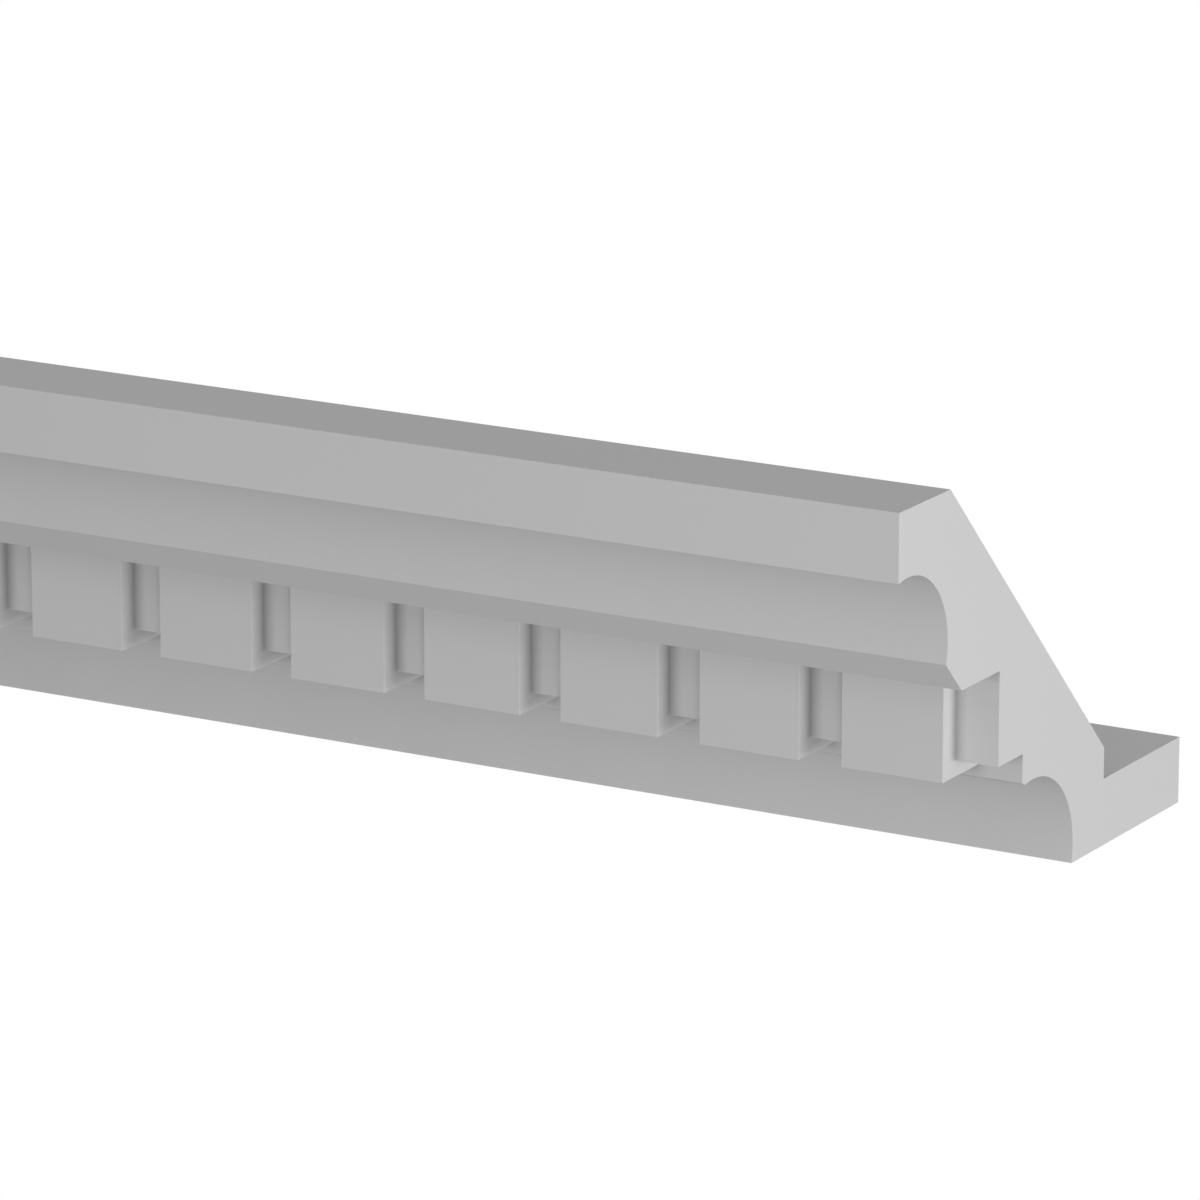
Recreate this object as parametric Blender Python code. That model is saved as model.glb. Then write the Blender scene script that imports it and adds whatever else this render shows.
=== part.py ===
"""Dentil crown moulding: one length, cut square at both ends, in the place where it is fixed.

Metres, +Z up. The length runs along X, the room is towards -Y, and the wall is the plane Y = 0.
The origin is the middle of the foot's back face, which lies against the wall.
The whole moulding is one solid: a run of one section, with a row of dentil blocks worked on it.
"""
import math

import bmesh
import bpy

# Dentil row: blocks repeat along the length, and one repeat is a block and the gap to its right.
PITCH = 0.0292
DENTIL_SHARE = 0.7
DENTIL_COUNT = 34
DENTIL_WIDTH = DENTIL_SHARE * PITCH
LENGTH = DENTIL_COUNT * PITCH

# Section, overall: how far it stands out from the wall, and how high it is.
PROJECTION = 0.11325
HEIGHT = 0.08115

# Back of the section: the foot on the wall, the small step above it, then a 45 degree slope
# up to the narrow face that meets the ceiling.
FOOT_THICKNESS = 0.01277
FOOT_UNDERSIDE = 0.04455
STEP_HEIGHT = 0.00596
CEILING_FACE = 0.01900

# Front of the section. Depths are measured back from the fascia, heights up from the underside.
FASCIA_HEIGHT = 0.01267
UPPER_COVE_RADIUS = 0.01521
UPPER_COVE_DEPTH = 0.01812
CHAMFER = 0.00608
CORONA_UNDERSIDE = 0.04357
BAND_DEPTH = 0.03883
BAND_BOTTOM = 0.02583
FILLET_DEPTH = 0.04836
FILLET_BOTTOM = 0.02035
QUIRK_DEPTH = 0.00105
QUIRK_DROP = 0.00059
LOWER_COVE_RADIUS = 0.01646

# Dentil blocks: the depth of their face and the height of their underside.
DENTIL_DEPTH = 0.03423
DENTIL_BOTTOM = 0.02270
# How far a block runs into the section behind and above it, so that the two join as one solid.
DENTIL_ROOT = 0.0030

# Faces that meet at more than this angle show a crisp edge; the coves' facets meet at less.
SHARP_ANGLE = math.radians(30)
COVE_STEPS = 20
FINISH_COLOUR = (0.75, 0.75, 0.75, 1.0)
FINISH_ROUGHNESS = 0.62


def remove_scene_objects():
    for item in list(bpy.data.objects):
        bpy.data.objects.remove(item, do_unlink=True)


def primed_finish():
    material = bpy.data.materials.new("primed_finish")
    material.use_nodes = True
    shader = material.node_tree.nodes["Principled BSDF"]
    shader.inputs["Base Color"].default_value = FINISH_COLOUR
    shader.inputs["Roughness"].default_value = FINISH_ROUGHNESS
    shader.inputs["Metallic"].default_value = 0.0
    return material


def cove(start, end, radius):
    """Points of a hollow quarter-round between two (depth, height) points, both included.

    The centre lies in the air in front of and below the surface.
    """
    chord_y = end[0] - start[0]
    chord_z = end[1] - start[1]
    half = math.hypot(chord_y, chord_z) / 2
    rise = math.sqrt(radius ** 2 - half ** 2)
    centre_y = (start[0] + end[0]) / 2 + rise * chord_z / (2 * half)
    centre_z = (start[1] + end[1]) / 2 - rise * chord_y / (2 * half)
    first = math.atan2(start[1] - centre_z, start[0] - centre_y)
    last = math.atan2(end[1] - centre_z, end[0] - centre_y)
    points = []
    for step in range(COVE_STEPS + 1):
        angle = first + (last - first) * step / COVE_STEPS
        points.append((centre_y + radius * math.cos(angle), centre_z + radius * math.sin(angle)))
    return points


def front_of_section():
    """The shaped front, from the top of the fascia down to the front of the underside."""
    fascia_bottom = HEIGHT - FASCIA_HEIGHT
    chamfer_top = CORONA_UNDERSIDE + CHAMFER
    upper = cove((0.0, fascia_bottom), (UPPER_COVE_DEPTH, chamfer_top), UPPER_COVE_RADIUS)
    quirk_tip = (FILLET_DEPTH + QUIRK_DEPTH, FILLET_BOTTOM - QUIRK_DROP)
    lower = cove(quirk_tip, (PROJECTION - FOOT_UNDERSIDE, 0.0), LOWER_COVE_RADIUS)
    points = [(0.0, HEIGHT)]
    points += upper
    points += [
        (UPPER_COVE_DEPTH + CHAMFER, CORONA_UNDERSIDE),
        (BAND_DEPTH, CORONA_UNDERSIDE),
        (BAND_DEPTH, BAND_BOTTOM),
        (FILLET_DEPTH, BAND_BOTTOM),
        (FILLET_DEPTH, FILLET_BOTTOM),
    ]
    points += lower
    return points


def back_of_section():
    """The plain back, from the foot of the wall face up to the back of the ceiling face."""
    slope_foot = FOOT_THICKNESS + STEP_HEIGHT
    slope_depth = CEILING_FACE + (HEIGHT - slope_foot)
    return [
        (PROJECTION, 0.0),
        (PROJECTION, FOOT_THICKNESS),
        (slope_depth, FOOT_THICKNESS),
        (slope_depth, slope_foot),
        (CEILING_FACE, HEIGHT),
    ]


def to_room(depth, height):
    """A (depth, height) point of the section as (Y, Z) in the part's own frame."""
    return depth - PROJECTION, height - FOOT_THICKNESS / 2


def new_object(name, mesh_builder):
    mesh = bpy.data.meshes.new(name)
    builder = bmesh.new()
    mesh_builder(builder)
    bmesh.ops.recalc_face_normals(builder, faces=builder.faces)
    builder.to_mesh(mesh)
    builder.free()
    item = bpy.data.objects.new(name, mesh)
    bpy.context.scene.collection.objects.link(item)
    return item


def add_run(builder):
    """The section, extruded from the left end to the right end."""
    outline = front_of_section() + back_of_section()
    left = []
    for depth, height in outline:
        y, z = to_room(depth, height)
        left.append(builder.verts.new((-LENGTH / 2, y, z)))
    end_face = builder.faces.new(left)
    swept = bmesh.ops.extrude_face_region(builder, geom=[end_face])
    moved = [item for item in swept["geom"] if isinstance(item, bmesh.types.BMVert)]
    bmesh.ops.translate(builder, vec=(LENGTH, 0.0, 0.0), verts=moved)


def add_dentils(builder):
    """The row of blocks. The first is flush with the left end, and the last gap is the right end's."""
    front, bottom = to_room(DENTIL_DEPTH, DENTIL_BOTTOM)
    back, top = to_room(FILLET_DEPTH + DENTIL_ROOT, CORONA_UNDERSIDE + DENTIL_ROOT)
    for number in range(DENTIL_COUNT):
        left = -LENGTH / 2 + number * PITCH
        block = bmesh.ops.create_cube(builder, size=1.0)
        bmesh.ops.scale(builder, vec=(DENTIL_WIDTH, back - front, top - bottom), verts=block["verts"])
        centre = (left + DENTIL_WIDTH / 2, (front + back) / 2, (bottom + top) / 2)
        bmesh.ops.translate(builder, vec=centre, verts=block["verts"])


def make_moulding():
    moulding = new_object("crown_moulding", add_run)
    blocks = new_object("dentil_blocks", add_dentils)
    blocks.hide_render = True
    blocks.display_type = "WIRE"
    join = moulding.modifiers.new("join_dentils", "BOOLEAN")
    join.operation = "UNION"
    join.solver = "EXACT"
    join.object = blocks
    moulding.data.materials.append(primed_finish())
    moulding.data.shade_smooth()
    moulding.data.set_sharp_from_angle(angle=SHARP_ANGLE)


def main():
    remove_scene_objects()
    make_moulding()


main()
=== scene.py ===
"""Looks of the dentil crown moulding: its finely shaped, primed body, a white stage, light and camera.

Metres, +Z up. The length runs along X, the room is towards -Y, and the wall is the plane Y = 0.
"""
import math

import bmesh
import bpy
from mathutils import Euler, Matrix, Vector


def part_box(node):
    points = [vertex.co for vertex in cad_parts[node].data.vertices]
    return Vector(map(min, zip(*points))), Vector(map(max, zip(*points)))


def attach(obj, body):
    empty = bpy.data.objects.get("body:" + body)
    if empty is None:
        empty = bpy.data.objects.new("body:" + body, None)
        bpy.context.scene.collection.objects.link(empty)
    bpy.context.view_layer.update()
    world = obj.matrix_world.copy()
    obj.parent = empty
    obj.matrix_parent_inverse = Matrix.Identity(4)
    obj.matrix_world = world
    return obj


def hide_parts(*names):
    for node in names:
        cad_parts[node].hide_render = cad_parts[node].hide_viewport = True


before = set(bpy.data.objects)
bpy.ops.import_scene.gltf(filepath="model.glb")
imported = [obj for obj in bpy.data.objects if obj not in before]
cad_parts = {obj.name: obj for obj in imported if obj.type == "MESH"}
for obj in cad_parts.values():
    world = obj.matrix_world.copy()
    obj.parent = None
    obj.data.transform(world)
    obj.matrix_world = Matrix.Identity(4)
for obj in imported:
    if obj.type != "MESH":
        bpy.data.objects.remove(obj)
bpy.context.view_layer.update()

NODE = "crown_moulding"
LOW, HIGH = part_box(NODE)
LENGTH = HIGH.x - LOW.x
PROJECTION = HIGH.y - LOW.y
HEIGHT = HIGH.z - LOW.z

# Dentil row: the repeats fill the length, and a block takes this share of each.
DENTIL_COUNT = 34
DENTIL_SHARE = 0.7
PITCH = LENGTH / DENTIL_COUNT
DENTIL_WIDTH = DENTIL_SHARE * PITCH

# Section, as in the solid. Depths are measured back from the fascia, heights up from the underside.
FOOT_THICKNESS = 0.01277
FOOT_UNDERSIDE = 0.04455
STEP_HEIGHT = 0.00596
CEILING_FACE = 0.01900
FASCIA_HEIGHT = 0.01267
UPPER_COVE_RADIUS = 0.01521
UPPER_COVE_DEPTH = 0.01812
CHAMFER = 0.00608
CORONA_UNDERSIDE = 0.04357
BAND_DEPTH = 0.03883
BAND_BOTTOM = 0.02583
FILLET_DEPTH = 0.04836
FILLET_BOTTOM = 0.02035
QUIRK_DEPTH = 0.00105
QUIRK_DROP = 0.00059
LOWER_COVE_RADIUS = 0.01646
DENTIL_DEPTH = 0.03423
DENTIL_BOTTOM = 0.02270
# How far a block runs into the section behind and above it, so that the two join as one mesh.
DENTIL_ROOT = 0.0030

# Fineness: the steps of a cove, and the rounding of the edges that turn by more than the angle.
COVE_STEPS = 56
EDGE_ROUNDING = 0.00004
EDGE_STEPS = 2
EDGE_ANGLE = math.radians(25)

# Finish: a matte light grey primer, whose coat varies over hand widths and has a very fine tooth.
PRIMER_COLOUR = (0.75, 0.75, 0.75)
PRIMER_ROUGHNESS = 0.62
PRIMER_SPECULAR = 0.15
ROUGHNESS_VARIATION = 0.04
COAT_SCALE = 14.0
COAT_DETAIL = 3.0
COAT_VARIATION = 0.006
COAT_THIN_AT = 0.30
COAT_THICK_AT = 0.70
TOOTH_SCALE = 1800.0
TOOTH_DETAIL = 2.0
TOOTH_STRENGTH = 0.05
TOOTH_HEIGHT = 0.00005
# Painted shade in the inner corners: how far it reaches, how strong it is, and the width of its soft
# limits.
CORNER_REACH = 0.0027
CORNER_PAINTED_SHADE = 0.78
CORNER_FADE = 0.0003
CORNER_SAMPLES = 16

# The photograph's camera: its place from the right end's lower front corner, and its angles.
CAMERA_FROM_CORNER = Vector((0.56646, -1.07699, 0.39477))
CAMERA_YAW = math.radians(30.1588)
CAMERA_PITCH = math.radians(15.1445)
IMAGE_WIDTH = 1200
FOCAL_PIXELS = 7329
SENSOR_WIDTH = 36.0
NEAREST_SEEN = 0.05
FARTHEST_SEEN = 200.0

# Stage: a white floor a room's height below, and a white sphere round it, whose upper half is a dome.
ROOM_HEIGHT = 2.4
FLOOR_HALF_SIDE = 60.0
DOME_RADIUS = 40.0
DOME_SUBDIVISIONS = 3
STAGE_GLOW = 1.0
WHITE = (1.0, 1.0, 1.0, 1.0)
BLACK = (0.0, 0.0, 0.0, 1.0)

# Light: a surround, weaker from below the horizon than from above it, and softboxes.
SURROUND_ABOVE = 0.405
SURROUND_BELOW = 0.306
SURROUND_BLEND = 0.05
SOFTBOX_SIZE = 0.6
SOFTBOX_DISTANCE = 1.3
# The point that the softboxes face is inside the moulding, near its right end.
SOFTBOX_AIM = Vector((HIGH.x - 0.0964, HIGH.y - 0.07, LOW.z + 0.0364))
# Each softbox: name, azimuth and elevation in degrees, and power in watts.
SOFTBOXES = (
    ("right_softbox", 90.0, 0.0, 3.12),
    ("right_front_softbox", 75.0, 0.0, 2.48),
    ("front_softbox", 30.0, 0.0, 3.2),
    ("upper_front_softbox", 0.0, 35.0, 0.58),
)


def cove(start, end, radius):
    """Points of a hollow quarter-round between two (depth, height) points, both included."""
    chord_y = end[0] - start[0]
    chord_z = end[1] - start[1]
    half = math.hypot(chord_y, chord_z) / 2
    rise = math.sqrt(radius ** 2 - half ** 2)
    centre_y = (start[0] + end[0]) / 2 + rise * chord_z / (2 * half)
    centre_z = (start[1] + end[1]) / 2 - rise * chord_y / (2 * half)
    first = math.atan2(start[1] - centre_z, start[0] - centre_y)
    last = math.atan2(end[1] - centre_z, end[0] - centre_y)
    points = []
    for step in range(COVE_STEPS + 1):
        angle = first + (last - first) * step / COVE_STEPS
        points.append((centre_y + radius * math.cos(angle), centre_z + radius * math.sin(angle)))
    return points


def section():
    """The whole outline: down the shaped front, back along the underside and up the plain back."""
    chamfer_top = CORONA_UNDERSIDE + CHAMFER
    slope_foot = FOOT_THICKNESS + STEP_HEIGHT
    slope_depth = CEILING_FACE + (HEIGHT - slope_foot)
    points = [(0.0, HEIGHT)]
    points += cove((0.0, HEIGHT - FASCIA_HEIGHT), (UPPER_COVE_DEPTH, chamfer_top), UPPER_COVE_RADIUS)
    points += [
        (UPPER_COVE_DEPTH + CHAMFER, CORONA_UNDERSIDE),
        (BAND_DEPTH, CORONA_UNDERSIDE),
        (BAND_DEPTH, BAND_BOTTOM),
        (FILLET_DEPTH, BAND_BOTTOM),
        (FILLET_DEPTH, FILLET_BOTTOM),
    ]
    quirk_tip = (FILLET_DEPTH + QUIRK_DEPTH, FILLET_BOTTOM - QUIRK_DROP)
    points += cove(quirk_tip, (PROJECTION - FOOT_UNDERSIDE, 0.0), LOWER_COVE_RADIUS)
    points += [
        (PROJECTION, 0.0),
        (PROJECTION, FOOT_THICKNESS),
        (slope_depth, FOOT_THICKNESS),
        (slope_depth, slope_foot),
        (CEILING_FACE, HEIGHT),
    ]
    return points


def to_room(depth, height):
    """A (depth, height) point of the section as (Y, Z) in the frame."""
    return LOW.y + depth, LOW.z + height


def new_object(name, mesh_builder):
    mesh = bpy.data.meshes.new(name)
    builder = bmesh.new()
    mesh_builder(builder)
    bmesh.ops.recalc_face_normals(builder, faces=builder.faces)
    builder.to_mesh(mesh)
    builder.free()
    item = bpy.data.objects.new(name, mesh)
    bpy.context.scene.collection.objects.link(item)
    return item


def add_run(builder):
    """The section, extruded from the left end to the right end."""
    left = []
    for depth, height in section():
        y, z = to_room(depth, height)
        left.append(builder.verts.new((LOW.x, y, z)))
    end_face = builder.faces.new(left)
    swept = bmesh.ops.extrude_face_region(builder, geom=[end_face])
    moved = [item for item in swept["geom"] if isinstance(item, bmesh.types.BMVert)]
    bmesh.ops.translate(builder, vec=(LENGTH, 0.0, 0.0), verts=moved)


def add_dentils(builder):
    """The row of blocks. The first is flush with the left end, and the last gap is the right end's."""
    front, bottom = to_room(DENTIL_DEPTH, DENTIL_BOTTOM)
    back, top = to_room(FILLET_DEPTH + DENTIL_ROOT, CORONA_UNDERSIDE + DENTIL_ROOT)
    for number in range(DENTIL_COUNT):
        left = LOW.x + number * PITCH
        block = bmesh.ops.create_cube(builder, size=1.0)
        bmesh.ops.scale(builder, vec=(DENTIL_WIDTH, back - front, top - bottom), verts=block["verts"])
        centre = (left + DENTIL_WIDTH / 2, (front + back) / 2, (bottom + top) / 2)
        bmesh.ops.translate(builder, vec=centre, verts=block["verts"])


def join_blocks(moulding, blocks):
    """Makes the run and the blocks one closed mesh."""
    join = moulding.modifiers.new("join_dentils", "BOOLEAN")
    join.operation = "UNION"
    join.solver = "EXACT"
    join.object = blocks
    evaluated = moulding.evaluated_get(bpy.context.evaluated_depsgraph_get())
    moulding.data = bpy.data.meshes.new_from_object(evaluated)
    moulding.data.name = moulding.name
    moulding.modifiers.clear()
    bpy.data.objects.remove(blocks, do_unlink=True)


def soften_edges(moulding):
    """Takes the razor edge off the arrises, as a coat of primer does."""
    bevel = moulding.modifiers.new("rounded_arrises", "BEVEL")
    bevel.width = EDGE_ROUNDING
    bevel.segments = EDGE_STEPS
    bevel.limit_method = "ANGLE"
    bevel.angle_limit = EDGE_ANGLE
    bevel.use_clamp_overlap = True
    bevel.harden_normals = True
    moulding.data.shade_smooth()


def map_range(tree, value, source, target):
    """A node that maps a value from one (low, high) range to another and holds it at both ends."""
    node = tree.nodes.new("ShaderNodeMapRange")
    node.inputs["From Min"].default_value = source[0]
    node.inputs["From Max"].default_value = source[1]
    node.inputs["To Min"].default_value = target[0]
    node.inputs["To Max"].default_value = target[1]
    tree.links.new(value, node.inputs["Value"])
    return node


def coat_pattern(tree, place):
    """Soft patches about a hand wide, where the coat is thin or thick."""
    coat = tree.nodes.new("ShaderNodeTexNoise")
    coat.inputs["Scale"].default_value = COAT_SCALE
    coat.inputs["Detail"].default_value = COAT_DETAIL
    tree.links.new(place, coat.inputs["Vector"])
    return coat.outputs["Fac"]


def coat_colour(tree, coat):
    """The primer's grey, very slightly darker where the coat is thin."""
    shade = tree.nodes.new("ShaderNodeValToRGB")
    thin, thick = shade.color_ramp.elements
    thin.position = COAT_THIN_AT
    thick.position = COAT_THICK_AT
    thin.color = (*[c * (1.0 - COAT_VARIATION) for c in PRIMER_COLOUR], 1.0)
    thick.color = (*[c * (1.0 + COAT_VARIATION) for c in PRIMER_COLOUR], 1.0)
    tree.links.new(coat, shade.inputs["Fac"])
    return shade.outputs["Color"]


def painted_corner_shade(tree, place):
    """Painted shade for inner corners: a factor on the coat's colour, 1 in the open, less in corners.

    The darkening holds above the band's foot and from the fillet back, so that the blocks' sides
    stay light below the band.
    """
    # An Ambient Occlusion node paints shade into the colour of the inner corners.
    corners = tree.nodes.new("ShaderNodeAmbientOcclusion")
    corners.samples = CORNER_SAMPLES
    corners.only_local = True
    corners.inputs["Distance"].default_value = CORNER_REACH
    point = tree.nodes.new("ShaderNodeSeparateXYZ")
    tree.links.new(place, point.inputs["Vector"])
    band_foot = LOW.z + BAND_BOTTOM
    band_foot_limits = (band_foot - CORNER_FADE, band_foot + CORNER_FADE)
    above_band_foot = map_range(tree, point.outputs["Z"], band_foot_limits, (0.0, 1.0))
    fillet_front = LOW.y + FILLET_DEPTH - CORNER_FADE
    fillet_limits = (fillet_front - CORNER_FADE, fillet_front)
    on_fillet = map_range(tree, point.outputs["Y"], fillet_limits, (0.0, 1.0))
    either = tree.nodes.new("ShaderNodeMath")
    either.operation = "MAXIMUM"
    tree.links.new(above_band_foot.outputs["Result"], either.inputs[0])
    tree.links.new(on_fillet.outputs["Result"], either.inputs[1])
    darkest = map_range(tree, either.outputs["Value"], (0.0, 1.0), (1.0, 1.0 - CORNER_PAINTED_SHADE))
    shade = map_range(tree, corners.outputs["AO"], (0.0, 1.0), (0.0, 1.0))
    tree.links.new(darkest.outputs["Result"], shade.inputs["To Min"])
    return shade.outputs["Result"]


def tooth_normal(tree, place):
    """The faint tooth of the primer, finer than a millimetre."""
    tooth = tree.nodes.new("ShaderNodeTexNoise")
    tooth.inputs["Scale"].default_value = TOOTH_SCALE
    tooth.inputs["Detail"].default_value = TOOTH_DETAIL
    tree.links.new(place, tooth.inputs["Vector"])
    bump = tree.nodes.new("ShaderNodeBump")
    bump.inputs["Strength"].default_value = TOOTH_STRENGTH
    bump.inputs["Distance"].default_value = TOOTH_HEIGHT
    tree.links.new(tooth.outputs["Fac"], bump.inputs["Height"])
    return bump.outputs["Normal"]


def primer_material():
    """Matte light grey primer with a faint tooth, and painted shade in the inner corners."""
    material = bpy.data.materials.new("primed_finish")
    material.use_nodes = True
    tree = material.node_tree
    shader = tree.nodes["Principled BSDF"]
    shader.inputs["Metallic"].default_value = 0.0
    shader.inputs["Specular IOR Level"].default_value = PRIMER_SPECULAR
    place = tree.nodes.new("ShaderNodeTexCoord").outputs["Object"]
    coat = coat_pattern(tree, place)
    # The coat's colour, multiplied by the painted shade of the inner corners.
    shaded = tree.nodes.new("ShaderNodeVectorMath")
    shaded.operation = "MULTIPLY"
    tree.links.new(coat_colour(tree, coat), shaded.inputs[0])
    tree.links.new(painted_corner_shade(tree, place), shaded.inputs[1])
    tree.links.new(shaded.outputs["Vector"], shader.inputs["Base Color"])
    rough_range = (PRIMER_ROUGHNESS - ROUGHNESS_VARIATION, PRIMER_ROUGHNESS + ROUGHNESS_VARIATION)
    roughness = map_range(tree, coat, (0.0, 1.0), rough_range)
    tree.links.new(roughness.outputs["Result"], shader.inputs["Roughness"])
    tree.links.new(tooth_normal(tree, place), shader.inputs["Normal"])
    return material


def make_moulding():
    """The run and its blocks as one mesh, softened and primed, in the solid's place."""
    moulding = new_object("moulding_body", add_run)
    blocks = new_object("dentil_blocks", add_dentils)
    join_blocks(moulding, blocks)
    soften_edges(moulding)
    moulding.data.materials.clear()
    moulding.data.materials.append(primer_material())
    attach(moulding, "root")
    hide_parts(NODE)


def stage_white():
    """Plain white of an even brightness, with no shading or reflection of its own."""
    material = bpy.data.materials.new("stage_white")
    material.use_nodes = True
    shader = material.node_tree.nodes["Principled BSDF"]
    shader.inputs["Base Color"].default_value = BLACK
    shader.inputs["Specular IOR Level"].default_value = 0.0
    shader.inputs["Emission Color"].default_value = WHITE
    shader.inputs["Emission Strength"].default_value = STAGE_GLOW
    return material


def add_floor(builder):
    bmesh.ops.create_grid(builder, x_segments=1, y_segments=1, size=FLOOR_HALF_SIDE)


def add_dome(builder):
    bmesh.ops.create_icosphere(builder, subdivisions=DOME_SUBDIVISIONS, radius=DOME_RADIUS)


def make_stage():
    """A floor a room's height below the moulding, and a dome over both.

    They take no shadow and throw no light on the moulding: the surround and the softboxes light it.
    """
    white = stage_white()
    for name, mesh_builder in (("floor", add_floor), ("dome", add_dome)):
        piece = new_object(name, mesh_builder)
        piece.location = (0.0, 0.0, LOW.z - ROOM_HEIGHT)
        piece.visible_diffuse = False
        piece.visible_glossy = False
        piece.visible_shadow = False
        piece.data.materials.append(white)


def make_surround():
    """Soft white light from all round, blended from the lower to the upper strength at the horizon."""
    world = bpy.data.worlds.new("soft_surround")
    world.use_nodes = True
    tree = world.node_tree
    place = tree.nodes.new("ShaderNodeTexCoord")
    direction = tree.nodes.new("ShaderNodeSeparateXYZ")
    tree.links.new(place.outputs["Generated"], direction.inputs["Vector"])
    horizon = (-SURROUND_BLEND, SURROUND_BLEND)
    strength = map_range(tree, direction.outputs["Z"], horizon, (SURROUND_BELOW, SURROUND_ABOVE))
    background = tree.nodes["Background"]
    background.inputs["Color"].default_value = WHITE
    tree.links.new(strength.outputs["Result"], background.inputs["Strength"])
    bpy.context.scene.world = world


def make_softbox(name, azimuth, elevation, power):
    """A round soft light aimed at the right-hand part of the moulding.

    Azimuth runs from the front towards the right end, and both angles are in degrees.
    """
    turn = math.radians(azimuth)
    tilt = math.radians(elevation)
    away = Vector((
        math.sin(turn) * math.cos(tilt),
        -math.cos(turn) * math.cos(tilt),
        math.sin(tilt),
    ))
    light = bpy.data.lights.new(name, "AREA")
    light.shape = "DISK"
    light.size = SOFTBOX_SIZE
    light.energy = power
    lamp = bpy.data.objects.new(name, light)
    lamp.location = SOFTBOX_AIM + away * SOFTBOX_DISTANCE
    lamp.rotation_mode = "QUATERNION"
    lamp.rotation_quaternion = (-away).to_track_quat("-Z", "Y")
    lamp.visible_camera = False
    bpy.context.scene.collection.objects.link(lamp)


def make_camera():
    camera = bpy.data.objects.new("camera", bpy.data.cameras.new("camera"))
    camera.data.sensor_width = SENSOR_WIDTH
    camera.data.lens = FOCAL_PIXELS / IMAGE_WIDTH * SENSOR_WIDTH
    camera.data.clip_start = NEAREST_SEEN
    camera.data.clip_end = FARTHEST_SEEN
    corner = Vector((HIGH.x, LOW.y, LOW.z))
    camera.location = corner + CAMERA_FROM_CORNER
    camera.rotation_euler = Euler((math.pi / 2 - CAMERA_PITCH, 0.0, CAMERA_YAW), "XYZ")
    bpy.context.scene.collection.objects.link(camera)
    bpy.context.scene.camera = camera


bpy.context.scene.view_settings.view_transform = "Standard"
bpy.context.scene.view_settings.look = "None"
make_camera()
make_moulding()
make_stage()
make_surround()
for softbox in SOFTBOXES:
    make_softbox(*softbox)
